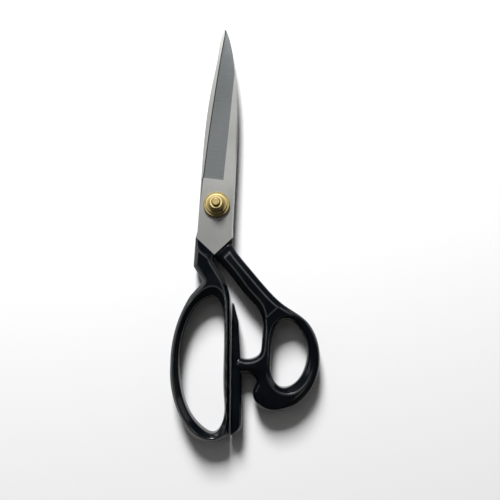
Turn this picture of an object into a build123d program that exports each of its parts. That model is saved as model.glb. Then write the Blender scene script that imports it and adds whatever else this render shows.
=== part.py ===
"""Fabric shears, right-handed, 10 inch: two steel blades with black bow handles on a brass-nutted pivot.

The shears lie closed on a flat surface at Z = 0, with the tips towards +Y and the handles towards -Y.
The origin is the pivot axis at that surface, where the flat head of the pivot bolt rests.
The upper blade carries the finger handle, on the left, and turns. The lower blade carries the thumb
handle, on the right, with the stop arm and the crescent pad that closes against the finger bow.
All sizes are millimetres.
"""
import os
from math import atan2, degrees

from build123d import *

# Heights above the table
HANDLE_HEIGHT = 12.0
MID = HANDLE_HEIGHT / 2
BLADE_THICK = 3.55
BLADE_GAP = 0.1
UPPER_INNER = MID + BLADE_GAP / 2
UPPER_OUTER = UPPER_INNER + BLADE_THICK
LOWER_INNER = MID - BLADE_GAP / 2
LOWER_OUTER = LOWER_INNER - BLADE_THICK

# Where the handles meet the blades: a V across the ricasso
V_LEFT = (-10.9, -20.4)
V_APEX = (0.45, -30.1)
V_RIGHT = (10.7, -19.4)
BLADE_OVERRUN = 1.2
END_CLEARANCE = 0.5
SHOULDER_RISE = 22.0
SHOULDER_STEP = 0.1

# Blade grind
RICASSO_LOW = -14.0
HEEL_HALF_WIDTH = 10.9
HEEL_LOW = -33.0
FACET_ANGLE = 13.0
FACET_REACH = 26.0
FACET_LENGTH = 150.0
FACET_MARGIN = 2.0
EDGE_THICK = 0.55
TAPER_ANGLE = 0.45
TAPER_START = 16.0
SPINE_CHAMFER = 0.8
SPINE_SIDE = 5.5
LONG_EDGE = 30.0
TIP_SLOPE = (-0.45, 1)

# Tangs inside the handles, and their pins
TANG_THICK = 2.4
TANG_WIDTH = 5.0
TANG_END_WIDTH = 3.6
TANG_OVERLAP = 3.0
FINGER_TANG = ((-5.2, -27.0), (-3.2, -39.5))
THUMB_TANG = ((6.0, -26.0), (14.5, -37.0))
PIN_PLACES = (0.4, 0.85)
PIN_RADIUS = 0.8
PIN_LENGTH = 6.0

# Pivot
SHANK_RADIUS = 3.0
BORE_RADIUS = 3.05
STUD_RADIUS = 2.2
STUD_TOP = 15.9
STUD_CHAMFER = 0.35
HEAD_RADIUS = 6.5
HEAD_CHAMFER = 0.6
NECK_SIDE = 6.4
BEARING_RADIUS = 6.0
BEARING_SEAT = 0.6
RUNNING_GAP = 0.02
FLANGE_RADIUS = 7.85
FLANGE_TOP = 11.0
FLANGE_ROUND = 0.35
SPRING_RADIUS = 5.8
SPRING_THICK = 0.4
SPRING_RISE = 0.35
SPRING_POCKET = (6.2, 1.0)
NUT_RADIUS = 6.1
NUT_RIM = 0.7
NUT_BORE_RADIUS = 2.25
COLLAR_RADIUS = 3.8
COLLAR_TOP = 14.9
COLLAR_ROUND = 0.2
COLLAR_BEVEL = 0.6
NUT_NECK = ((1.9, 0.2), (1.1, 0.4), (0.5, 0.9), (0.15, 1.7), (0, 2.3))

# Handles
HOLE_CHAMFER = 1.5
BAR_LOW = (14.3, -127.6)
PAD_RISE = 1.2
ARM_Y = -91.6
ARM_HALF_WIDTH = 4.3
ARM_END_X = 18.6


def slab(face, low, high):
    """The face extruded from height low to height high."""
    return extrude(Pos(0, 0, low) * face, high - low)


def loop(*edges):
    """The flat face inside a closed run of edges."""
    return make_face(list(edges))


def heading(start, end):
    """The direction from start to end, in degrees from +X."""
    return degrees(atan2(end[1] - start[1], end[0] - start[0]))


def beyond(start, end, shift, low=0.0, high=HANDLE_HEIGHT):
    """Everything on the handle side of the line from start to end, moved shift further out."""
    side = Pos(*start) * Rot(0, 0, heading(start, end)) * Pos(0, -shift - 100) * Rectangle(400, 200)
    return slab(side, low, high)


def before(start, end, shift, low, high):
    """Everything on the blade side of the line from start to end, moved shift towards the handles."""
    side = Pos(*start) * Rot(0, 0, heading(start, end)) * Pos(0, 100 - shift) * Rectangle(400, 200)
    return slab(side, low, high)


def turned_over(body):
    """The body turned over about the Y axis at mid height, which swaps upper and lower."""
    return Pos(0, 0, MID) * Rot(0, 180, 0) * Pos(0, 0, -MID) * body


def flipped(point):
    """The point across the YZ plane, where turning over brings it from."""
    return (-point[0], point[1])


# ---------------------------------------------------------------- blades

def facet_cutter(start, end):
    """The metal ground away above the facet, which rises from the cutting edge towards the spine."""
    wedge = Pos(0, FACET_MARGIN) * Box(FACET_LENGTH, FACET_REACH, FACET_REACH,
                                       align=(Align.MIN, Align.MAX, Align.MIN))
    place = Pos(start[0], start[1], UPPER_INNER + EDGE_THICK) * Rot(0, 0, heading(start, end))
    return place * Rot(-FACET_ANGLE, 0, 0) * wedge


def taper_cutter():
    """The metal above the blade's outer face, which thins from the plunge to the tip."""
    metal = Box(60, 160, 10, align=(Align.CENTER, Align.MIN, Align.MIN))
    return Pos(0, TAPER_START, UPPER_OUTER) * Rot(-TAPER_ANGLE, 0, 0) * metal


def on_spine(edge):
    """True for the long edges where the outer face meets the spine."""
    middle = edge @ 0.5
    return middle.X > SPINE_SIDE and middle.Z > UPPER_INNER + 1 and edge.length > LONG_EDGE


def ground_blade(spine, edge, tip):
    """A blade with its flat inner face down, its cutting edge to the left and its grind on top."""
    back = Spline(*spine, tangents=[(0, 1), TIP_SLOPE])
    nose = ThreePointArc(spine[-1], tip, edge[-1])
    cutting = ThreePointArc(edge[2], edge[1], edge[0])
    heel = Polyline(edge[0], (edge[0][0], RICASSO_LOW), (-HEEL_HALF_WIDTH, V_LEFT[1]),
                    (-HEEL_HALF_WIDTH, HEEL_LOW), (HEEL_HALF_WIDTH, HEEL_LOW),
                    (HEEL_HALF_WIDTH, V_LEFT[1]), (spine[0][0], RICASSO_LOW), spine[0])
    outline = make_face([back, nose, cutting] + heel.edges())
    blank = slab(outline, UPPER_INNER, UPPER_OUTER) - taper_cutter() - facet_cutter(edge[0], edge[2])
    return chamfer(blank.edges().filter_by(on_spine), SPINE_CHAMFER)


def tang(root, end):
    """A thin tapering tongue that the handle grips, from the blade's heel at root down to end."""
    length = (Vector(*end) - Vector(*root)).length
    outline = Polyline((-TANG_OVERLAP, TANG_WIDTH / 2), (length, TANG_END_WIDTH / 2),
                       (length, -TANG_END_WIDTH / 2), (-TANG_OVERLAP, -TANG_WIDTH / 2),
                       (-TANG_OVERLAP, TANG_WIDTH / 2))
    shape = Pos(*root) * Rot(0, 0, heading(root, end)) * make_face(outline.edges())
    bury = (BLADE_THICK - TANG_THICK) / 2
    return slab(shape, UPPER_INNER + bury, UPPER_OUTER - bury)


def upper_blade():
    body = ground_blade(
        spine=[(10.45, 8), (10.2, 40), (8.5, 77), (5.0, 98.3), (-1.3, 120.9)],
        edge=[(-9.9, 16.6), (-6.95, 66), (-2.1, 120.4)],
        tip=(-1.75, 121.3),
    )
    body -= beyond(V_LEFT, V_APEX, 0)
    body -= beyond(V_APEX, V_RIGHT, BLADE_OVERRUN)
    body += tang(*FINGER_TANG)
    return body - Pos(0, 0, MID) * Cylinder(BORE_RADIUS, HANDLE_HEIGHT)


def lower_blade():
    body = turned_over(ground_blade(
        spine=[(10.9, 8), (10.9, 35), (8.5, 79), (5.6, 104), (3.0, 121.4)],
        edge=[(-9.9, 16.6), (-6.4, 66), (1.7, 121.6)],
        tip=(2.35, 122.5),
    ))
    body -= beyond(V_APEX, V_RIGHT, 0)
    body -= beyond(V_LEFT, V_APEX, BLADE_OVERRUN)
    body += turned_over(tang(flipped(THUMB_TANG[0]), flipped(THUMB_TANG[1])))
    body -= Pos(0, 0, MID) * Box(NECK_SIDE, NECK_SIDE, HANDLE_HEIGHT)
    return body - Pos(0, 0, LOWER_INNER - BEARING_SEAT / 2) * Cylinder(BEARING_RADIUS, BEARING_SEAT)


def tang_pins(line):
    """Two pins across a tang, hidden inside the handle."""
    start, end = Vector(*line[0]), Vector(*line[1])
    places = [start + (end - start) * share for share in PIN_PLACES]
    return Compound([Pos(p.X, p.Y, MID) * Cylinder(PIN_RADIUS, PIN_LENGTH) for p in places])


# ---------------------------------------------------------------- handles

def finger_outline():
    """The finger handle: shank, neck, and the long bow with its straight bar on the right."""
    left, right = (-11.3, -19.0), (0.5, -28.0)
    slot_top, elbow, bar_top = (-0.4, -33.5), (5.8, -42.5), (11.0, -56.0)
    heel, belly, brow, neck = (-7.0, -127.4), (-20.2, -93.0), (-12.0, -54.5), (-5.2, -46.0)
    return loop(Line(left, right), Line(right, slot_top), Line(slot_top, elbow),
                ThreePointArc(elbow, (9.3, -49.2), bar_top), Line(bar_top, BAR_LOW),
                ThreePointArc(BAR_LOW, (4.6, -131.5), heel), ThreePointArc(heel, (-16.0, -113.2), belly),
                ThreePointArc(belly, (-18.8, -72.5), brow), Line(brow, neck),
                Line(neck, (-11.3, -37.5)), Line((-11.3, -37.5), left))


def finger_hole():
    return loop(Spline((0.5, -53.9), (-6.7, -57.9), (-12.6, -68.0), (-15.6, -85), (-13.8, -103.0),
                       (-7.7, -117.8), (-0.6, -125.0), (6.0, -127.4), (10.2, -122.0), (10.4, -108.5),
                       (9.0, -83.9), (7.9, -66.0), (5.2, -56.6), periodic=True))


def thumb_outline():
    """The thumb handle: shank, ring with its heel lobe, and the stop arm that reaches to the pad."""
    low, high = (ARM_END_X, ARM_Y - ARM_HALF_WIDTH), (ARM_END_X, ARM_Y + ARM_HALF_WIDTH)
    corner = (11.0, -24.5)
    outer = Spline(corner, (18.5, -34.0), (30.6, -47.2), (42.2, -57.5), (56.0, -66.6), (62.3, -79.3),
                   (62.3, -92.4), (56.1, -104.8), (45.6, -113.1), (35.0, -114.9), (27.0, -109.3),
                   (26.3, -104.4), (28.0, -99.5), (25.0, -96.4), low, tangents=[(0.55, -1), (-1, 0)])
    inner = Spline(high, (26.8, -86.9), (29.2, -84.8), (30.0, -80.6), (30.3, -74.0), (29.3, -64.8),
                   (26.9, -60.1), (22.6, -55.4), (17.5, -50.1), (13.9, -45.5), (10.1, -41.0),
                   (6.6, -37.2), (3.6, -34.2))
    return loop(outer, ThreePointArc(low, (14.9, ARM_Y), high), inner,
                Line((3.6, -34.2), (0.9, -32.0)), Line((0.9, -32.0), V_APEX), Line(V_APEX, V_RIGHT),
                Line(V_RIGHT, corner))


def thumb_hole():
    return loop(Spline((35.6, -83.0), (36.2, -73.6), (39.3, -67.3), (44.5, -65.4), (51.4, -70.2),
                       (55.6, -80.0), (54.6, -91.4), (49.0, -100.0), (42.3, -102.3), (37.2, -98.2),
                       periodic=True))


def pad_outline():
    """The crescent pad: a straight face along the bow's bar, and a back that follows the bow's curve."""
    top, top_right, low = (12.15, -57.2), (13.3, -57.6), (15.0, -128.2)
    toe = ThreePointArc(low, (19.1, -126.2), (21.0, -119.5))
    back = ThreePointArc((21.0, -119.5), (19.4, -93.0), (16.6, -68.0))
    return loop(toe, back, Line((16.6, -68.0), top_right), Line(top_right, top), Line(top, low))


def bow(outline, hole):
    """A flat bar of the given outline and full height, with its hole chamfered above and below."""
    body = slab(outline, 0, HANDLE_HEIGHT) - slab(hole, 0, HANDLE_HEIGHT)
    rims = [edge for edge in body.edges().filter_by(GeomType.BSPLINE) if edge.is_closed]
    return chamfer(rims, HOLE_CHAMFER)


def shoulder_cutter(start, end):
    """The metal above the slope that rises from the blade's face up into the handle."""
    place = Pos(start[0], start[1], UPPER_OUTER + SHOULDER_STEP) * Rot(0, 0, heading(start, end))
    metal = Box(80, 60, 20, align=(Align.CENTER, Align.CENTER, Align.MIN))
    return place * Rot(-SHOULDER_RISE, 0, 0) * metal


def finger_handle(blade, pins):
    body = bow(finger_outline(), finger_hole())
    body -= before(V_LEFT, V_APEX, 0, 0, HANDLE_HEIGHT)
    body -= before(V_LEFT, V_APEX, BLADE_OVERRUN + END_CLEARANCE, 0, MID)
    body -= shoulder_cutter(V_LEFT, V_APEX)
    return body - blade - pins


def thumb_handle(blade, pins):
    body = bow(thumb_outline(), thumb_hole())
    body += slab(pad_outline(), PAD_RISE, HANDLE_HEIGHT - PAD_RISE)
    body -= before(V_APEX, V_RIGHT, 0, 0, HANDLE_HEIGHT)
    body -= before(V_APEX, V_RIGHT, BLADE_OVERRUN + END_CLEARANCE, MID, HANDLE_HEIGHT)
    body -= shoulder_cutter(V_APEX, V_RIGHT)
    return body - blade - pins


# ---------------------------------------------------------------- pivot

def turned(*profile):
    """A solid of revolution about Z, from (radius, height) corners."""
    outline = Polyline(*[(radius, 0, height) for radius, height in profile], close=True)
    return revolve(make_face(outline.edges()), Axis.Z)


def pivot_bolt():
    """A bolt with a flat head, a square neck in the lower blade, a bearing shank and a threaded stud."""
    head = turned((0, 0), (HEAD_RADIUS - HEAD_CHAMFER, 0), (HEAD_RADIUS, HEAD_CHAMFER),
                  (HEAD_RADIUS, LOWER_OUTER), (0, LOWER_OUTER))
    neck_top = LOWER_INNER - BEARING_SEAT
    neck = Pos(0, 0, (LOWER_OUTER + neck_top) / 2) * Box(NECK_SIDE, NECK_SIDE, neck_top - LOWER_OUTER)
    shank = turned((0, neck_top), (SHANK_RADIUS, neck_top), (SHANK_RADIUS, FLANGE_TOP),
                   (STUD_RADIUS, FLANGE_TOP), (STUD_RADIUS, STUD_TOP - STUD_CHAMFER),
                   (STUD_RADIUS - STUD_CHAMFER, STUD_TOP), (0, STUD_TOP))
    return head + neck + shank


def bearing_washer():
    """The thin washer that sits in the lower blade and keeps the blades just apart."""
    low, high = LOWER_INNER - BEARING_SEAT, UPPER_INNER - RUNNING_GAP
    return turned((BORE_RADIUS, low), (BEARING_RADIUS, low), (BEARING_RADIUS, high), (BORE_RADIUS, high))


def flange_washer():
    """The broad brass washer on the upper blade, hollow below for the spring washer."""
    low = UPPER_OUTER + RUNNING_GAP
    pocket_radius, pocket_height = SPRING_POCKET
    return turned((BORE_RADIUS, low + pocket_height), (pocket_radius, low + pocket_height),
                  (pocket_radius, low), (FLANGE_RADIUS, low), (FLANGE_RADIUS, FLANGE_TOP - FLANGE_ROUND),
                  (FLANGE_RADIUS - FLANGE_ROUND, FLANGE_TOP), (BORE_RADIUS, FLANGE_TOP))


def spring_washer():
    """The coned spring washer inside the flange washer, which keeps the blades pressed together."""
    low = UPPER_OUTER + RUNNING_GAP
    return turned((BORE_RADIUS, low + SPRING_RISE), (SPRING_RADIUS, low), (SPRING_RADIUS, low + SPRING_THICK),
                  (BORE_RADIUS, low + SPRING_RISE + SPRING_THICK))


def tension_nut():
    """The bell-shaped brass nut: a rim on the flange washer, a hollow neck and a raised collar."""
    rim_top = FLANGE_TOP + NUT_RIM
    rim = [(NUT_BORE_RADIUS, FLANGE_TOP), (NUT_RADIUS, FLANGE_TOP), (NUT_RADIUS, rim_top)]
    neck = [(COLLAR_RADIUS + out, rim_top + up) for out, up in NUT_NECK]
    collar = [(COLLAR_RADIUS, COLLAR_TOP - COLLAR_ROUND), (COLLAR_RADIUS - COLLAR_ROUND, COLLAR_TOP),
              (NUT_BORE_RADIUS + COLLAR_BEVEL, COLLAR_TOP), (NUT_BORE_RADIUS, COLLAR_TOP - COLLAR_BEVEL)]
    return turned(*rim, *neck, *collar)


def shears():
    """Every piece by its name, in place with the blades closed."""
    upper, lower = upper_blade(), lower_blade()
    finger_pins, thumb_pins = tang_pins(FINGER_TANG), tang_pins(THUMB_TANG)
    return {
        "upper_blade": upper - finger_pins,
        "lower_blade": lower - thumb_pins,
        "finger_handle": finger_handle(upper, finger_pins),
        "thumb_handle": thumb_handle(lower, thumb_pins),
        "finger_tang_pins": finger_pins,
        "thumb_tang_pins": thumb_pins,
        "pivot_bolt": pivot_bolt(),
        "bearing_washer": bearing_washer(),
        "flange_washer": flange_washer(),
        "spring_washer": spring_washer(),
        "tension_nut": tension_nut(),
    }


os.makedirs("parts", exist_ok=True)
for name, body in shears().items():
    export_step(body, f"parts/{name}.step")
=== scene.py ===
"""Looks for the fabric shears: sculpted black bow handles, ground steel blades and a turned brass pivot.

Lengths in the helper functions are millimetres, and MM turns them into metres.
"""
import math

import bmesh
import bpy
import numpy as np
from mathutils import Matrix, Vector


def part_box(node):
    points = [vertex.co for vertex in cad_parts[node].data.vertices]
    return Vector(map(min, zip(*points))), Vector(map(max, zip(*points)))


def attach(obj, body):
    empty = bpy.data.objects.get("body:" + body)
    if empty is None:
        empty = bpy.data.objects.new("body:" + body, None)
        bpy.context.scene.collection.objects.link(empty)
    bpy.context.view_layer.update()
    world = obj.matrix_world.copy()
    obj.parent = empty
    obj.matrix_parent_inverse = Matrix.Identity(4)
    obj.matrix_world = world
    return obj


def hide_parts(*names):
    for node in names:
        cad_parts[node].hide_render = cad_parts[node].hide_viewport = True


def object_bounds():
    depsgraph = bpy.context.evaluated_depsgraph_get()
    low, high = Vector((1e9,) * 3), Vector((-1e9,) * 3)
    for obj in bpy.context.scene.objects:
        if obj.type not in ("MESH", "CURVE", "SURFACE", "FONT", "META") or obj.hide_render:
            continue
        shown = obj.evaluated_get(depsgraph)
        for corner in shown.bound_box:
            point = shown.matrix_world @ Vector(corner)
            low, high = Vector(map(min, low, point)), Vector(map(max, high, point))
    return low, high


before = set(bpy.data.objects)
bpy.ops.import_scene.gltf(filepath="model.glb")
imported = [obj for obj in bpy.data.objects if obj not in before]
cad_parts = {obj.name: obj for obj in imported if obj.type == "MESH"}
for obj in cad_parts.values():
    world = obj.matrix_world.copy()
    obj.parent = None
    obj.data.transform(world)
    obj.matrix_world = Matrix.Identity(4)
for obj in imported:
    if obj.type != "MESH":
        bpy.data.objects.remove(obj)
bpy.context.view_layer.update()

MM = 0.001

# Where the handles meet the blades: a V across the ricasso
V_LEFT = np.array([-10.9, -20.4])
V_APEX = np.array([0.45, -30.1])
V_RIGHT = np.array([10.7, -19.4])
FAR_LAYER_START = 1.7        # how much further out a handle starts beside the other half's blade
MID_HEIGHT = 6.0
HALF_HEIGHT = 6.0
FINGER_SECTION = 6.3         # heights at which the handles' CAD nodes are cut for their outlines
THUMB_SECTION = 5.7
ARM_SECTION = 11.5           # above the pad
LIP_HEIGHT = 3.72            # the enamel's edge above mid height, just proud of the blade's face

# Cutting edge of the upper blade: heel, belly and tip
EDGE_ARC = ((-9.9, 16.6), (-6.95, 66), (-2.1, 120.4))
EDGE_BEVEL = 0.75            # width of the ground bevel along it

# Handle sculpting: the sides and edges of both handles
CELL = 0.4                   # size of the sculpting grid's cells
GRID_MARGIN = 2.5 * CELL     # the grid's room around its CAD node
SETTLING_STEPS = 3           # times that a surface's points are moved onto it
POINTS_AT_ONCE = 4000        # points measured together, which bounds the memory in use
WALL = 3.2                   # half height of the upright part of a handle's side
CREST_ROUND = 0.6            # how softly neighbouring faces of a handle blend
SOFT_ROUND = 2.4             # the same on the soft heel and back of the thumb ring
CREST_WIDTH = 0.26           # how far from a crest the painted highlight along it reaches
EDGE_WIDTH = 0.6             # and how far from an edge it has lost its gloss
RISE_FLATNESS = 0.75         # scale that keeps the rise beside the V close to a distance field
RISE_ROUND = 0.25            # how softly that rise blends into the rest
SEAM = 0.002                 # points of a CAD mesh this close together are one point
OUTLINE_STEP = 0.3           # spacing of an outline's points
OUTLINE_ROUND = 0.5          # how much an outline's corners are rounded
HOLE_ROUND = 0.4             # the same for a hole, and for the pad
ARM_ROUND = 0.7              # the same for the stop arm's corners above the pad
V_MARGIN = 0.3               # an outline's points closer to the V than this are left out
V_RUN_ON = 15                # how many times its last stretch an outline then runs on past the V

# Widths of the finger handle's shoulders. A width that has no note applies where none of the others do.
BOW_OUTER = 2.2
BOW_OUTER_LOW = 2.6          # at the bottom of the bow
BAR_OUTER = 1.2              # along the straight bar
BOW_HOLE = 2.8               # the same on the side of the finger hole
BOW_HOLE_TOP = 5.4           # the wide slope at the top of the finger hole
BAR_HOLE = 1.2               # along the straight bar
HOLE_TOP = (0.5, -51.0)      # the middle of that slope
HOLE_TOP_SPREAD = (60.0, 45.0)           # how far it reaches along x and y, squared
LOW_WALL_DROP = 0.4          # how much lower the hole's shoulder starts at the bottom of the bow
WEDGE_START = np.array([-8.0, -22.8])    # the ends of the thin wedge beside the V
WEDGE_END = np.array([-2.4, -31.2])
WEDGE_MIDDLE = 5.2           # distance along the wedge to its middle
WEDGE_WIDTH = 3.4            # width of the slope that starts there
WEDGE_TAPER = 0.34           # how much that slope narrows in a millimetre along the wedge
WEDGE_WIDTHS = (1.4, 4.5)    # its least and greatest width
WEDGE_FADE_IN = (3.6, 4.6)   # distance past the V at which the handle's crest lines start

# Widths of the thumb handle's shoulders
RING_OUTER = 2.3
SHANK_EXTRA = 1.2            # wider along the shank and the ring's back
LOW_EXTRA = 1.9              # wider still along the bottom of the ring
RING_HOLE = 2.1              # the same on the side of the thumb hole
RIGHT_HOLE = 3.8             # on the right of the ring
HEEL_HOLE_EXTRA = 0.9        # wider along the ring's soft heel
LENS_WALL_DROP = 2.0         # how much lower the hole's shoulder starts beside the ring's lens-shaped land
LIP_SLOPE = 1.3              # the rise beside the V
LAND_START = 5.8             # distance past the V at which the raised land along the shank starts
LAND_FADE_IN = (5.2, 5.7)    # where its crest lines start, between the V and the land
LAND_END = np.array([35.2, -61.7])       # where that land ends, and the direction it runs in
LAND_RUN = np.array([0.69, -0.72])
LAND_END_SLOPE = 0.6         # how steeply and how far the land steps down at its ends
LAND_END_STEP = 0.5

# The stop arm and the crescent pad
PAD_HALF_HEIGHT = 4.8
PAD_WALL = 2.6               # half height of the upright part of the pad's side
PAD_SLOPE = 1.9              # width of the slopes beside it
PAD_ROUND = 1.2
PAD_TOP = -57.0              # the pad lies below and left of these
PAD_RIGHT = 21.0
ARM_SIDES = (-95.9, -87.3)   # the stop arm's edges, which cross the pad
BY_PAD = (22.0, -56.5)       # left of and below this the arm stands alone above the pad


# ---------------------------------------------------------------- outlines from the frame

def section_loops(node, height):
    """The closed outlines of a CAD node where a level plane at the given height cuts it, longest first."""
    mesh = bmesh.new()
    mesh.from_mesh(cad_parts[node].data)
    bmesh.ops.remove_doubles(mesh, verts=mesh.verts, dist=SEAM * MM)
    cut = bmesh.ops.bisect_plane(mesh, geom=mesh.verts[:] + mesh.edges[:] + mesh.faces[:],
                                 plane_co=(0, 0, height * MM), plane_no=(0, 0, 1))["geom_cut"]
    edges = dict.fromkeys(item for item in cut if isinstance(item, bmesh.types.BMEdge))
    loops = []
    while edges:
        edge = next(iter(edges))
        del edges[edge]
        start, here = edge.verts
        points = [start.co.xy / MM, here.co.xy / MM]
        while True:
            following = next((other for other in here.link_edges if other in edges), None)
            if following is None:
                break
            del edges[following]
            here = following.other_vert(here)
            points.append(here.co.xy / MM)
        loops.append(np.array(points[:-1]))
    mesh.free()
    return sorted(loops, key=loop_length, reverse=True)


def loop_length(loop):
    return np.linalg.norm(np.roll(loop, -1, axis=0) - loop, axis=1).sum()


def resampled(loop, step):
    """The closed loop with evenly spaced points."""
    closed = np.vstack([loop, loop[:1]])
    along = np.concatenate([[0], np.cumsum(np.linalg.norm(np.diff(closed, axis=0), axis=1))])
    places = np.linspace(0, along[-1], max(8, int(along[-1] / step)), endpoint=False)
    return np.column_stack([np.interp(places, along, closed[:, axis]) for axis in range(2)])


def smoothed(loop, width):
    """The closed loop with its corners rounded by averaging over about width."""
    loop = resampled(loop, OUTLINE_STEP)
    reach = int(3 * width / OUTLINE_STEP)
    offsets = np.arange(-reach, reach + 1)
    weights = np.exp(-0.5 * (offsets * OUTLINE_STEP / width) ** 2)
    weights /= weights.sum()
    return sum(weight * np.roll(loop, -offset, axis=0) for weight, offset in zip(weights, offsets))


def inside(points, loop):
    """True for each point inside the closed loop."""
    start, end = loop, np.roll(loop, -1, axis=0)
    result = np.zeros(len(points), bool)
    for (x0, y0), (x1, y1) in zip(start, end):
        if y0 != y1:
            crossing = (points[:, 1] > min(y0, y1)) & (points[:, 1] <= max(y0, y1))
            at = x0 + (points[:, 1] - y0) * (x1 - x0) / (y1 - y0)
            result ^= crossing & (points[:, 0] < at)
    return result


def depth_inside(points, loop):
    """How far inside the closed loop each point lies, negative outside."""
    start, run = loop, np.roll(loop, -1, axis=0) - loop
    best = np.full(len(points), np.inf)
    squares = (run ** 2).sum(1)
    for chunk in np.array_split(np.arange(len(points)), max(1, len(points) // POINTS_AT_ONCE)):
        away = points[chunk][:, None, :] - start[None]
        share = np.clip((away * run[None]).sum(2) / squares[None], 0, 1)
        gaps = away - share[..., None] * run[None]
        best[chunk] = (gaps ** 2).sum(2).min(1)
    return np.where(inside(points, loop), 1, -1) * np.sqrt(best)


def past_line(points, start, end):
    """How far each point lies on the handle side of the line from start to end."""
    run = (end - start) / np.linalg.norm(end - start)
    return (points - start) @ np.array([run[1], -run[0]])


# ---------------------------------------------------------------- sculpting

def soft_min(fields, round_over):
    """The smallest of the fields, with their meeting edges rounded."""
    result = fields[0]
    for field in fields[1:]:
        overlap = np.clip(1 - np.abs(result - field) / round_over, 0, 1)
        result = np.minimum(result, field) - overlap ** 2 * round_over / 4
    return result


def slope_field(depth, width, height, wall, top=HALF_HEIGHT):
    """A sloping face that rises from an upright wall at the outline to the top, width further in."""
    rise = top - wall
    return (wall + rise * depth / width - height) * width / np.hypot(rise, width)


def surface_net(field, origin, cell):
    """Vertices and four-sided faces where the field, sampled on a grid of cells, changes sign."""
    solid = field > 0
    wide, deep, high = (count - 1 for count in solid.shape)
    corners = sum(solid[i:wide + i, j:deep + j, k:high + k].astype(int)
                  for i in (0, 1) for j in (0, 1) for k in (0, 1))
    mixed = (corners > 0) & (corners < 8)
    number = -np.ones(mixed.shape, int)
    number[mixed] = np.arange(mixed.sum())
    places = np.zeros((mixed.sum(), 3))
    counts = np.zeros(mixed.sum())
    faces = []
    for axis in range(3):
        ahead = np.roll(field, -1, axis=axis)
        crossing = (field > 0) != (ahead > 0)
        crossing[tuple(slice(-1, None) if a == axis else slice(None) for a in range(3))] = False
        cells = np.argwhere(crossing)
        low, high = field[crossing], ahead[crossing]
        points = cells.astype(float)
        points[:, axis] += low / (low - high)
        first, second = [a for a in range(3) if a != axis]
        around = []
        for a, b in ((-1, -1), (0, -1), (0, 0), (-1, 0)):
            step = np.zeros(3, int)
            step[first], step[second] = a, b
            index = number[tuple((cells + step).T)]
            np.add.at(places, index, points)
            np.add.at(counts, index, 1)
            around.append(index)
        quads = np.column_stack(around)
        flip = (low > 0) == (axis == 1)
        quads[flip] = quads[flip][:, ::-1]
        faces.append(quads)
    return origin + places / counts[:, None] * cell, np.vstack(faces)


def sampled(field, origin, cell, points):
    """The field at each point, interpolated between its grid's corners."""
    places = (points - origin) / cell
    low = np.clip(places.astype(int), 0, np.array(field.shape) - 2)
    share = places - low
    total = 0
    for i in (0, 1):
        for j in (0, 1):
            for k in (0, 1):
                weight = np.abs(1 - np.array([i, j, k]) - share).prod(axis=1)
                total = total + weight * field[low[:, 0] + i, low[:, 1] + j, low[:, 2] + k]
    return total


def sculpted(name, node, shape, body, material):
    """A handle shaped by a field over its CAD node's box, riding on body in place of that node."""
    low, high = (np.array(corner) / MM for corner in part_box(node))
    origin = low - GRID_MARGIN
    counts = np.ceil((high + GRID_MARGIN - origin) / CELL).astype(int) + 1
    across = [origin[axis] + CELL * np.arange(counts[axis]) for axis in range(3)]
    plan = np.stack(np.meshgrid(across[0], across[1], indexing="ij"), axis=-1).reshape(-1, 2)
    field, crest, edge = (part.reshape(counts) for part in shape(plan, across[2] - MID_HEIGHT))
    vertices, faces = surface_net(field, origin, CELL)
    slopes = np.gradient(field, CELL)
    for _ in range(SETTLING_STEPS):
        value = sampled(field, origin, CELL, vertices)
        normal = np.column_stack([sampled(slope, origin, CELL, vertices) for slope in slopes])
        vertices -= normal * (value / (normal ** 2).sum(1))[:, None]
    piece = new_piece(name, vertices * MM, faces.tolist(), material)
    for label, grid in (("crest", crest), ("edge", edge)):
        layer = piece.data.attributes.new(label, "FLOAT", "POINT")
        layer.data.foreach_set("value", sampled(grid, origin, CELL, vertices))
    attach(piece, body)
    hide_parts(node)


def new_piece(name, vertices, faces, material):
    mesh = bpy.data.meshes.new(name)
    mesh.from_pydata(vertices.tolist(), [], faces)
    mesh.shade_smooth()
    mesh.materials.append(material)
    piece = bpy.data.objects.new(name, mesh)
    bpy.context.collection.objects.link(piece)
    return piece


def without_v(loop, v_start, v_end):
    """The outline with its V side left out and its two ends running straight on past the blade."""
    loop = resampled(loop, OUTLINE_STEP)
    kept = loop[past_line(loop, v_start, v_end) > V_MARGIN]
    jump = np.linalg.norm(np.roll(kept, -1, axis=0) - kept, axis=1).argmax()
    kept = np.roll(kept, -jump - 1, axis=0)
    first, last = kept[0] - kept[3], kept[-1] - kept[-4]
    return np.vstack([kept, kept[-1] + last * V_RUN_ON, kept[0] + first * V_RUN_ON])


def ramp(values, start, end):
    """0 before start, 1 after end, with a smooth rise between them."""
    share = np.clip((values - start) / (end - start), 0, 1)
    return share * share * (3 - 2 * share)


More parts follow.
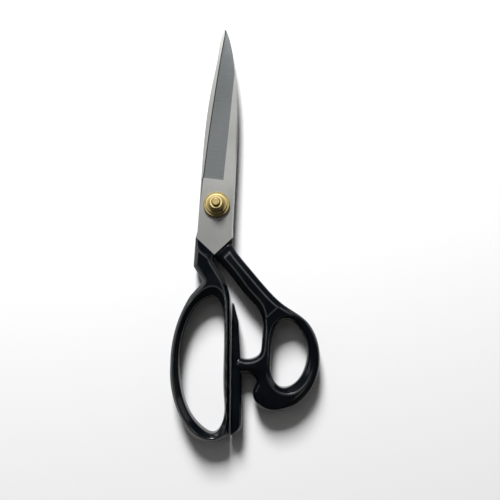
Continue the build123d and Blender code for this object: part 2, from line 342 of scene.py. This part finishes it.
def bar_fields(depth, hole_depth, up, outer, inner, rise, lined, land_end=-50.0):
    """A bar with upright middle sides, sloping shoulders, a flat top and base, and a rise beside the V.

    The outer and inner shoulders are each given as width, wall height and rounding. The top is a land that
    steps down where land_end, the distance past the land's ends, is above 0. Its crests are marked where
    lined is 1, and fade out towards 0. Gives the bar's field, how near each point is to a crest of the
    land, and how near it is to any edge between the bar's upper faces.
    """
    flat = 0 * depth
    top = HALF_HEIGHT - up + flat
    step = HALF_HEIGHT - np.minimum(LAND_END_SLOPE * land_end, LAND_END_STEP) - up + flat
    outside = slope_field(depth, outer[0], up, outer[1])
    hole_side = slope_field(hole_depth, inner[0], up, inner[1])
    nearest, second = np.sort(np.stack([top, step, outside, hole_side]), axis=0)[:2]
    rise_face = (rise - up) * RISE_FLATNESS + flat
    sharpness = CREST_ROUND / np.where(outside < hole_side, outer[2], inner[2])
    edge = np.clip(1 - (second - nearest) / EDGE_WIDTH, 0, 1) * sharpness * lined
    edge = np.maximum(edge, np.clip(1 - np.abs(rise_face - nearest) / EDGE_WIDTH, 0, 1))
    crest = np.clip(1 - (second - nearest) / CREST_WIDTH, 0, 1) * sharpness ** 2 * lined
    crest = crest * np.clip((rise_face - nearest) / CREST_WIDTH, 0, 1)
    body = soft_min([soft_min([top, step], CREST_ROUND), outside, depth + 0 * up], outer[2])
    body = soft_min([body, hole_side, hole_depth + 0 * up], inner[2])
    return soft_min([body, rise_face], RISE_ROUND), crest, edge


# ---------------------------------------------------------------- handles

def finger_rise(plan):
    """Height of the finger handle's shoulder: a thin wedge beside the V, then a slope up to the flat."""
    run = (WEDGE_END - WEDGE_START) / np.linalg.norm(WEDGE_END - WEDGE_START)
    past_middle = (plan - WEDGE_START) @ run - WEDGE_MIDDLE
    width = np.clip(WEDGE_WIDTH - WEDGE_TAPER * past_middle, *WEDGE_WIDTHS)
    past = np.maximum(past_line(plan, WEDGE_START, WEDGE_END), 0)
    return LIP_HEIGHT + (HALF_HEIGHT - LIP_HEIGHT) * past / width


def finger_widths(x, y):
    """Widths of the finger handle's outer and inner shoulders, which change from place to place."""
    along_bar = ramp(y, -122, -112) * ramp(-y, 52, 60)
    outer = BOW_OUTER + (BOW_OUTER_LOW - BOW_OUTER) * ramp(-y, 114, 124)
    outer -= (BOW_OUTER - BAR_OUTER) * ramp(x, 8, 11) * along_bar
    from_top = (x - HOLE_TOP[0]) ** 2 / HOLE_TOP_SPREAD[0] + (y - HOLE_TOP[1]) ** 2 / HOLE_TOP_SPREAD[1]
    hole_top = np.exp(-from_top)
    inner = BOW_HOLE + (BOW_HOLE_TOP - BOW_HOLE) * hole_top
    inner -= (BOW_HOLE - BAR_HOLE) * ramp(x, 6, 9) * along_bar * (1 - hole_top)
    return outer[:, None], inner[:, None]


def finger_handle(material):
    outline, hole = section_loops("finger_handle", FINGER_SECTION)[:2]
    outline = smoothed(without_v(outline, V_LEFT, V_APEX), OUTLINE_ROUND)
    hole = smoothed(hole, HOLE_ROUND)

    def shape(plan, heights):
        x, y = plan.T
        outer_width, hole_width = finger_widths(x, y)
        hole_wall = WALL - LOW_WALL_DROP * ramp(-y, 100, 115)[:, None]
        depth, hole_depth = depth_inside(plan, outline)[:, None], -depth_inside(plan, hole)[:, None]
        past_v = past_line(plan, V_LEFT, V_APEX)[:, None]
        body, crest, edge = bar_fields(depth, hole_depth, np.abs(heights)[None, :],
                                       (outer_width, WALL, CREST_ROUND),
                                       (hole_width, hole_wall, CREST_ROUND),
                                       finger_rise(plan)[:, None], ramp(past_v, *WEDGE_FADE_IN))
        start = past_v - np.where(heights > 0, 0, FAR_LAYER_START)[None, :]
        return np.minimum(body, start), crest, edge

    sculpted("finger_bow", "finger_handle", shape, "upper_half", material)


def thumb_shoulders(x, y):
    """The thumb handle's outer and inner shoulders, and how much of the soft heel each point belongs to.

    Each shoulder is its width, wall height and rounding. The heel is the bottom left of the ring, the lens
    its bottom right and the back its upper right.
    """
    right = ramp(x, 42, 50)
    low_part = ramp(-y, 90, 95) * (1 - right) + ramp(-y, 82, 104) * right
    heel, lens = low_part * (1 - right), low_part * right
    back = ramp(x, 38, 48) * ramp(-y, 60, 72)
    shank = ramp(y, -68, -56)
    outer_width = RING_OUTER + SHANK_EXTRA * (shank * (1 - back) + back * (1 - low_part))
    outer_width += LOW_EXTRA * low_part
    at_right = ramp(x, 40, 50)
    hole_width = RING_HOLE + (RIGHT_HOLE - RING_HOLE) * at_right
    hole_width += HEEL_HOLE_EXTRA * low_part * (1 - at_right)
    soft = (SOFT_ROUND - CREST_ROUND) * np.maximum(heel, back * (1 - lens))
    outer = (outer_width, WALL + 0 * x, CREST_ROUND + soft)
    inner = (hole_width, WALL - LENS_WALL_DROP * lens, CREST_ROUND + soft * ramp(y, -98, -88))
    return [part[:, None] for part in outer], [part[:, None] for part in inner], heel[:, None]


def pad_outline(middle):
    """The crescent pad's part of the thumb handle's outline, without the stop arm that crosses it."""
    pad = resampled(middle, OUTLINE_STEP)
    x, y = pad.T
    beside_arm = (y < ARM_SIDES[0]) | (y > ARM_SIDES[1])
    return smoothed(pad[(x < PAD_RIGHT) & (y < PAD_TOP) & beside_arm], HOLE_ROUND)


def pad_field(depth, up):
    """The crescent pad: upright middle sides, a slope on either face and a flat top and base."""
    sides, top = depth + 0 * up, PAD_HALF_HEIGHT - up + 0 * depth
    return soft_min([sides, top, slope_field(depth, PAD_SLOPE, up, PAD_WALL, PAD_HALF_HEIGHT)], PAD_ROUND)


def thumb_handle(material):
    middle, hole = section_loops("thumb_handle", THUMB_SECTION)[:2]
    high = smoothed(section_loops("thumb_handle", ARM_SECTION)[0], ARM_ROUND)
    pad = pad_outline(middle)
    middle = smoothed(without_v(middle, V_APEX, V_RIGHT), OUTLINE_ROUND)
    hole = smoothed(hole, HOLE_ROUND)

    def shape(plan, heights):
        x, y = plan.T
        up = np.abs(heights)[None, :]
        outer, inner, heel = thumb_shoulders(x, y)
        by_pad = (x < BY_PAD[0]) & (y < BY_PAD[1])
        depth = np.where(by_pad, depth_inside(plan, high), depth_inside(plan, middle))[:, None]
        hole_depth = -depth_inside(plan, hole)[:, None]
        past_v = past_line(plan, V_APEX, V_RIGHT)[:, None]
        land_end = np.maximum(((plan - LAND_END) @ LAND_RUN)[:, None], LAND_START - past_v)
        body, crest, edge = bar_fields(depth, hole_depth, up, outer, inner,
                                       LIP_HEIGHT + LIP_SLOPE * np.maximum(past_v, 0),
                                       ramp(past_v, *LAND_FADE_IN), land_end)
        crest = crest * (1 - heel)
        pad_body = pad_field(depth_inside(plan, pad)[:, None], up)
        crest, edge = (np.where(pad_body > body, 0, part) for part in (crest, edge))
        start = past_v - np.where(heights < 0, 0, FAR_LAYER_START)[None, :]
        return np.minimum(np.maximum(body, pad_body), start), crest, edge

    sculpted("thumb_bow", "thumb_handle", shape, "lower_half", material)


# ---------------------------------------------------------------- materials

class Surface:
    """A Principled material that is built up from procedural nodes in the piece's own coordinates."""

    def __init__(self, name, **uniform):
        self.material = bpy.data.materials.new(name)
        self.material.use_nodes = True
        self.tree = self.material.node_tree
        self.shader = self.tree.nodes["Principled BSDF"]
        for socket, value in uniform.items():
            self.set(socket.replace("_", " "), value)
        place = self.tree.nodes.new("ShaderNodeTexCoord")
        self.place, self.normal = place.outputs["Object"], place.outputs["Normal"]

    def set(self, socket, value):
        """Set or link one of the shader's sockets."""
        if isinstance(value, bpy.types.NodeSocket):
            self.tree.links.new(value, self.shader.inputs[socket])
        else:
            self.shader.inputs[socket].default_value = value

    def feed(self, socket, value):
        if isinstance(value, bpy.types.NodeSocket):
            self.tree.links.new(value, socket)
        else:
            socket.default_value = value

    def math(self, operation, *values):
        node = self.tree.nodes.new("ShaderNodeMath")
        node.operation = operation
        for socket, value in zip(node.inputs, values):
            self.feed(socket, value)
        return node.outputs[0]

    def vector(self, operation, *values):
        node = self.tree.nodes.new("ShaderNodeVectorMath")
        node.operation = operation
        for socket, value in zip(node.inputs, values):
            self.feed(socket, value)
        return node.outputs["Value" if operation in ("LENGTH", "DISTANCE", "DOT_PRODUCT") else "Vector"]

    def axis(self, vector, name):
        node = self.tree.nodes.new("ShaderNodeSeparateXYZ")
        self.feed(node.inputs[0], vector)
        return node.outputs[name]

    def attribute(self, name):
        node = self.tree.nodes.new("ShaderNodeAttribute")
        node.attribute_name = name
        return node.outputs["Fac"]

    def turned_to(self, angle):
        """The piece's coordinates turned about Z, so that Y runs along a direction angle off Y."""
        node = self.tree.nodes.new("ShaderNodeVectorRotate")
        node.rotation_type = "Z_AXIS"
        self.feed(node.inputs["Vector"], self.place)
        node.inputs["Angle"].default_value = angle
        return node.outputs[0]

    def noise(self, per_metre, detail=2.0, stretch=(1, 1, 1), place=None):
        """Noise between 0 and 1, with the given number of features in a metre."""
        node = self.tree.nodes.new("ShaderNodeTexNoise")
        node.inputs["Scale"].default_value = per_metre
        node.inputs["Detail"].default_value = detail
        self.feed(node.inputs["Vector"], self.vector("MULTIPLY", place or self.place, stretch))
        return node.outputs[0]

    def ramp(self, value, low, high, start=0.0, end=1.0):
        """start where the value is below low, end where it is above high, and a smooth change between."""
        node = self.tree.nodes.new("ShaderNodeMapRange")
        node.interpolation_type = "SMOOTHSTEP"
        for socket, number in zip(node.inputs, (value, low, high, start, end)):
            self.feed(socket, number)
        return node.outputs[0]

    def blend(self, share, first, second):
        """The first colour where share is 0 and the second where it is 1."""
        node = self.tree.nodes.new("ShaderNodeMix")
        node.data_type = "RGBA"
        self.feed(node.inputs[0], share)
        for socket, colour in zip((node.inputs[6], node.inputs[7]), (first, second)):
            self.feed(socket, colour if isinstance(colour, bpy.types.NodeSocket) else (*colour, 1))
        return node.outputs[2]

    def bump(self, height, depth_mm, below=None):
        """A bump of depth_mm between heights 0 and 1, on top of the bump below."""
        node = self.tree.nodes.new("ShaderNodeBump")
        node.inputs["Strength"].default_value = 1.0
        node.inputs["Distance"].default_value = depth_mm * MM
        self.feed(node.inputs["Height"], height)
        if below:
            self.feed(node.inputs["Normal"], below)
        return node.outputs[0]


def past_line_mask(surface, start, end):
    """1 on the handle side of the line from start to end, across the blade."""
    run = (end - start) / np.linalg.norm(end - start)
    away = surface.vector("SUBTRACT", surface.place, (start[0] * MM, start[1] * MM, 0))
    past = surface.vector("DOT_PRODUCT", away, (run[1], -run[0], 0))
    return surface.ramp(past, -ENAMEL_EDGE * MM, ENAMEL_EDGE * MM)


ENAMEL_BLACK = (0.0010, 0.0018, 0.0034)
ENAMEL_SHEEN = (0.0022, 0.0036, 0.0046)
# a painted highlight's grey, laid along the handles' crests
ENAMEL_CREST_HIGHLIGHT = (0.075, 0.086, 0.083)
ENAMEL_GLOSS = 0.2           # roughness of the enamel on the blades' heels
ENAMEL_EDGE = 0.05           # softness of the line where it ends on a blade


def enamel_material():
    """Glossy black enamel, slightly uneven, with pin-head specks, a faint orange peel and a painted
    highlight along its crests.
    """
    enamel = Surface("black_enamel", Specular_IOR_Level=0.36)
    cloud = enamel.noise(70, 3)
    body = enamel.blend(enamel.ramp(cloud, 0.4, 0.65), ENAMEL_BLACK, ENAMEL_SHEEN)
    # Crest lines are painted a lighter grey: a painted highlight where the glossy edges would catch the
    # light.
    thin = enamel.ramp(enamel.attribute("crest"), 0.25, 0.9)
    crest = enamel.math("MULTIPLY", thin, enamel.ramp(enamel.noise(140, 2), 0.3, 0.6, 0.6, 1.0))
    enamel.set("Base Color", enamel.blend(crest, body, ENAMEL_CREST_HIGHLIGHT))
    worn = enamel.ramp(enamel.attribute("edge"), 0.15, 0.6, 0.0, 0.55)
    fine = enamel.noise(900, 3)
    specks = enamel.ramp(fine, 0.62, 0.8, 0.0, 0.25)
    rough = enamel.math("ADD", enamel.ramp(cloud, 0.35, 0.7, 0.14, 0.22), specks)
    enamel.set("Roughness", enamel.math("ADD", rough, worn))
    peel = enamel.bump(enamel.noise(330, 2), 0.02)
    enamel.set("Normal", enamel.bump(enamel.ramp(fine, 0.70, 0.78), 0.006, below=peel))
    return enamel.material


STEEL_METALLIC = 0.5         # ground steel and aged brass scatter part of their light evenly
SATIN_DARK, SATIN_LIGHT = (0.42, 0.42, 0.405), (0.49, 0.49, 0.475)
SATIN_STREAK = (0.36, 0.36, 0.35)
# the facet's two tones: painted shade that darkens the same steel as the flat where its face tilts
SHADED_FACET_DARK, SHADED_FACET_LIGHT = (0.170, 0.184, 0.187), (0.210, 0.224, 0.225)
# the chamfer's even grey, a painted highlight on the same steel
LIT_CHAMFER_STEEL = (0.46, 0.46, 0.45)
# near-black painted shade along the cutting edge's bevel
SHADED_BEVEL_STEEL = (0.045, 0.047, 0.05)
BRASS_METALLIC = 0.3
BRASS_GOLD = (0.31, 0.245, 0.09)
BRASS_OLIVE = (0.23, 0.18, 0.065)
BRASS_ROUGHNESS = 0.58
# Inner and outer radius and colour of rings painted as light and shade: painted shade on the bore's rim, a
# painted highlight on the collar, painted shade in the hollow, a painted highlight on the rim, painted
# shade in the groove and on the outer slope
BRASS_LIGHT_AND_SHADE_BANDS = (
    (2.2, 2.5, (0.16, 0.11, 0.03)),
    (2.7, 3.6, (0.66, 0.53, 0.22)),
    (3.9, 5.2, (0.26, 0.19, 0.06)),
    (5.7, 6.1, (0.66, 0.54, 0.24)),
    (6.3, 6.5, (0.24, 0.18, 0.06)),
    (7.4, 9.0, (0.22, 0.175, 0.075)),
)
BAND_EDGE = 0.12             # softness of a band's edges
RINGS_PER_METRE = 4500       # tool marks of the turned and pressed pieces


def blade_material(name, enamel_start, enamel_end, edge_arc=None):
    """Ground steel: a satin flat, a cross-ground facet painted darker as shade, a spine chamfer painted as
    a highlight, a band of painted shade along the cutting edge and an enamelled end.
    """
    steel = Surface(name)
    side = steel.math("ABSOLUTE", steel.axis(steel.normal, "X"))
    facet = steel.math("MULTIPLY", steel.ramp(side, 0.10, 0.16), steel.ramp(side, 0.40, 0.34))
    enamel = past_line_mask(steel, enamel_start, enamel_end)

    lengthways = steel.noise(520, 4, (9.0, 0.3, 1.0))
    crossways = steel.noise(700, 4, (0.08, 8.0, 1.0), steel.turned_to(math.radians(4.5)))
    patches = steel.noise(45, 3)
    satin = steel.blend(steel.ramp(patches, 0.3, 0.7), SATIN_DARK, SATIN_LIGHT)
    satin = steel.blend(steel.ramp(lengthways, 0.35, 0.75, 0.0, 0.4), satin, SATIN_STREAK)
    # The facet's darker tone is painted shade; its cross-ground grain is real.
    ground = steel.blend(steel.ramp(crossways, 0.3, 0.75), SHADED_FACET_DARK, SHADED_FACET_LIGHT)
    colour = steel.blend(facet, satin, ground)
    # The spine's chamfer, found by its tilt, is painted an even light grey: a painted highlight.
    chamfer = steel.math("MULTIPLY", steel.ramp(side, 0.45, 0.55), steel.ramp(side, 0.95, 0.85))
    colour = steel.blend(chamfer, colour, LIT_CHAMFER_STEEL)
    roughness = steel.ramp(lengthways, 0.4, 0.8, 0.13, 0.17)
    if edge_arc:
        # A near-black band along the cutting edge: painted shade on the bevel, which is the same steel.
        colour = steel.blend(edge_mask(steel, edge_arc), colour, SHADED_BEVEL_STEEL)
    colour = steel.blend(enamel, colour, ENAMEL_BLACK)
    metallic = steel.math("MULTIPLY_ADD", enamel, -STEEL_METALLIC, STEEL_METALLIC)
    to_enamel = steel.math("SUBTRACT", ENAMEL_GLOSS, roughness)
    roughness = steel.math("MULTIPLY_ADD", enamel, to_enamel, roughness)
    steel.set("Base Color", colour)
    steel.set("Metallic", metallic)
    steel.set("Roughness", roughness)
    grain = steel.math("ADD", steel.math("MULTIPLY", crossways, facet),
                       steel.math("MULTIPLY", lengthways, steel.math("SUBTRACT", 1.0, facet)))
    steel.set("Normal", steel.bump(grain, 0.0015))
    return steel.material


def edge_mask(surface, arc):
    """1 on the ground facet within the width of the bevel from the arc of the cutting edge."""
    centre, radius = circle_through(*arc)
    flat_place = surface.vector("MULTIPLY", surface.place, (1, 1, 0))
    reach = surface.vector("DISTANCE", flat_place, (centre[0] * MM, centre[1] * MM, 0))
    inward = surface.math("ABSOLUTE", surface.math("SUBTRACT", reach, radius * MM))
    width = surface.ramp(inward, (EDGE_BEVEL - 0.08) * MM, (EDGE_BEVEL + 0.08) * MM, 1.0, 0.0)
    return surface.math("MULTIPLY", width, surface.ramp(surface.axis(surface.normal, "Z"), 0.5, 0.8))


def circle_through(a, b, c):
    """Centre and radius of the circle through three points."""
    rows = np.array([[b[0] - a[0], b[1] - a[1]], [c[0] - a[0], c[1] - a[1]]])
    a, b, c = (np.array(p) for p in (a, b, c))
    centre = np.linalg.solve(2 * rows, np.array([b @ b - a @ a, c @ c - a @ a]))
    return centre, float(np.linalg.norm(centre - a))


def brass_material():
    """Turned brass: painted highlights on the collar and rim, painted shade in the hollow between them, in
    the groove and on the outer slope, tool marks and fine stains.
    """
    brass = Surface("turned_brass", Metallic=BRASS_METALLIC)
    radius = brass.vector("LENGTH", brass.vector("MULTIPLY", brass.place, (1, 1, 0)))
    rings = brass.noise(1, 3, place=ring_place(brass, radius))
    stain = brass.noise(450, 4)
    colour = brass.blend(brass.ramp(stain, 0.4, 0.7), BRASS_GOLD, BRASS_OLIVE)
    for low, high, shade in BRASS_LIGHT_AND_SHADE_BANDS:
        band = brass.math("MULTIPLY", brass.ramp(radius, (low - BAND_EDGE) * MM, (low + BAND_EDGE) * MM),
                          brass.ramp(radius, (high + BAND_EDGE) * MM, (high - BAND_EDGE) * MM))
        # each band paints a ring of highlight or shade over the brass
        colour = brass.blend(band, colour, shade)
    colour = brass.blend(brass.ramp(rings, 0.35, 0.75, 0.0, 0.3), colour, BRASS_OLIVE)
    brass.set("Base Color", colour)
    brass.set("Roughness", brass.ramp(stain, 0.4, 0.75, BRASS_ROUGHNESS, BRASS_ROUGHNESS + 0.1))
    brass.set("Normal", brass.bump(rings, 0.003))
    return brass.material


def ring_place(surface, radius):
    """Coordinates that change only with the distance from the turning axis, and with height."""
    node = surface.tree.nodes.new("ShaderNodeCombineXYZ")
    for socket, length in ((node.inputs[0], radius), (node.inputs[2], surface.axis(surface.place, "Z"))):
        surface.feed(socket, surface.math("MULTIPLY", length, RINGS_PER_METRE))
    return node.outputs[0]


THREAD_PITCH = 0.5           # rise of the stud's ridges
STUD_START, STUD_END = 11.0, 15.88       # heights at which the stud starts and ends


def bolt_material():
    """A bolt of grey steel with a brass-plated, threaded stud that is smooth only on its end."""
    bolt = Surface("bolt_plating", Metallic=0.6)
    height = bolt.axis(bolt.place, "Z")
    thread = bolt.math("PINGPONG", bolt.math("MULTIPLY", height, 1 / (THREAD_PITCH * MM)), 1.0)
    stud = bolt.ramp(height, STUD_START * MM, (STUD_START + 0.2) * MM)
    grit = bolt.noise(1500, 3)
    colour = bolt.blend(bolt.ramp(grit, 0.4, 0.65), (0.42, 0.32, 0.14), (0.28, 0.20, 0.08))
    colour = bolt.blend(stud, (0.42, 0.42, 0.41), colour)
    bolt.set("Base Color", colour)
    bolt.set("Roughness", bolt.ramp(grit, 0.35, 0.7, 0.5, 0.65))
    top = bolt.ramp(height, (STUD_END - 0.08) * MM, STUD_END * MM)
    ridges = bolt.bump(bolt.math("MULTIPLY", thread, bolt.math("SUBTRACT", 1.0, top)), 0.25)
    bolt.set("Normal", bolt.bump(grit, 0.09, below=ridges))
    return bolt.material


def washer_material(name, bright, dark, roughness):
    """A pressed or turned washer with fine rings and a little staining."""
    washer = Surface(name, Metallic=1.0)
    radius = washer.vector("LENGTH", washer.vector("MULTIPLY", washer.place, (1, 1, 0)))
    rings = washer.noise(1, 2, place=ring_place(washer, radius))
    stain = washer.noise(300, 3)
    washer.set("Base Color", washer.blend(washer.ramp(stain, 0.4, 0.7), bright, dark))
    washer.set("Roughness", washer.ramp(stain, 0.4, 0.7, roughness, roughness + 0.12))
    washer.set("Normal", washer.bump(rings, 0.008))
    return washer.material


def floor_material():
    """Pale matt paper."""
    return Surface("floor_paper", Roughness=0.9, Base_Color=(0.82, 0.82, 0.83, 1)).material


def assign(material, *nodes):
    for node in nodes:
        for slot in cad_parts[node].material_slots:
            slot.material = material


# ---------------------------------------------------------------- stage

FLOOR_SIDE = 6.0             # metres
CAMERA_PLACE = Vector((22.89, -66.37, 224.8))      # millimetres


def area_light(name, azimuth, elevation, distance, size, radiance):
    """A light that faces the shears. Azimuth turns from +Y towards +X; radiance is its brightness."""
    data = bpy.data.lights.new(name, "AREA")
    data.shape = "RECTANGLE"
    data.size, data.size_y = size
    data.energy = radiance * size[0] * size[1] * math.pi
    light = bpy.data.objects.new(name, data)
    bpy.context.collection.objects.link(light)
    turn, lift = math.radians(azimuth), math.radians(elevation)
    away = Vector((math.sin(turn) * math.cos(lift), math.cos(turn) * math.cos(lift), math.sin(lift)))
    light.location = away * distance
    light.rotation_mode = "QUATERNION"
    light.rotation_quaternion = away.to_track_quat("Z", "Y")


def make_floor():
    mesh = bpy.data.meshes.new("floor")
    half, low = FLOOR_SIDE / 2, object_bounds()[0][2]
    corners = [(-half, -half, low), (half, -half, low), (half, half, low), (-half, half, low)]
    mesh.from_pydata(corners, [], [(0, 1, 2, 3)])
    floor = bpy.data.objects.new("floor", mesh)
    bpy.context.collection.objects.link(floor)
    mesh.materials.append(floor_material())


def make_camera():
    """A phone's wide camera held about 0.22 m above the shears, leaning 10.5 degrees off the vertical."""
    turn, lean = math.radians(2.6), math.radians(10.5)
    data = bpy.data.cameras.new("camera")
    data.lens, data.sensor_width = 27.04, 36.0
    data.clip_start = 0.01
    camera = bpy.data.objects.new("camera", data)
    bpy.context.collection.objects.link(camera)
    camera.location = CAMERA_PLACE * MM
    away = Vector((-math.sin(turn), math.cos(turn), 0))
    right = Vector((math.cos(turn), math.sin(turn), 0))
    forward = away * math.sin(lean) + Vector((0, 0, -1)) * math.cos(lean)
    up = right.cross(forward)
    camera.rotation_mode = "QUATERNION"
    camera.rotation_quaternion = Matrix((right, up, -forward)).transposed().to_quaternion()
    bpy.context.scene.camera = camera


def make_lights():
    world = bpy.data.worlds.new("studio")
    world.use_nodes = True
    background = world.node_tree.nodes["Background"]
    background.inputs["Color"].default_value = (1.0, 0.97, 0.94, 1)
    background.inputs["Strength"].default_value = 0.06
    bpy.context.scene.world = world
    area_light("key", -12, 32, 1.5, (0.45, 0.45), 80)
    area_light("panel", -25, 58, 1.0, (0.7, 0.5), 0.4)
    area_light("left_rim", -85, 18, 0.9, (0.2, 0.5), 1.0)
    area_light("right_rim", 74, 16, 0.9, (0.35, 0.48), 0.9)
    bpy.context.scene.view_settings.view_transform = "Standard"


black_enamel = enamel_material()
finger_handle(black_enamel)
thumb_handle(black_enamel)
assign(blade_material("upper_steel", V_APEX, V_RIGHT, EDGE_ARC), "upper_blade")
assign(blade_material("lower_steel", V_LEFT, V_APEX), "lower_blade")
assign(bolt_material(), "pivot_bolt")
assign(brass_material(), "flange_washer", "tension_nut")
assign(washer_material("bearing_bronze", (0.55, 0.36, 0.17), (0.36, 0.22, 0.10), 0.3), "bearing_washer")
assign(washer_material("spring_steel", (0.42, 0.42, 0.43), (0.24, 0.22, 0.20), 0.3), "spring_washer")
assign(washer_material("pin_steel", (0.55, 0.55, 0.54), (0.40, 0.40, 0.40), 0.35),
       "finger_tang_pins", "thumb_tang_pins")

make_floor()
make_camera()
make_lights()
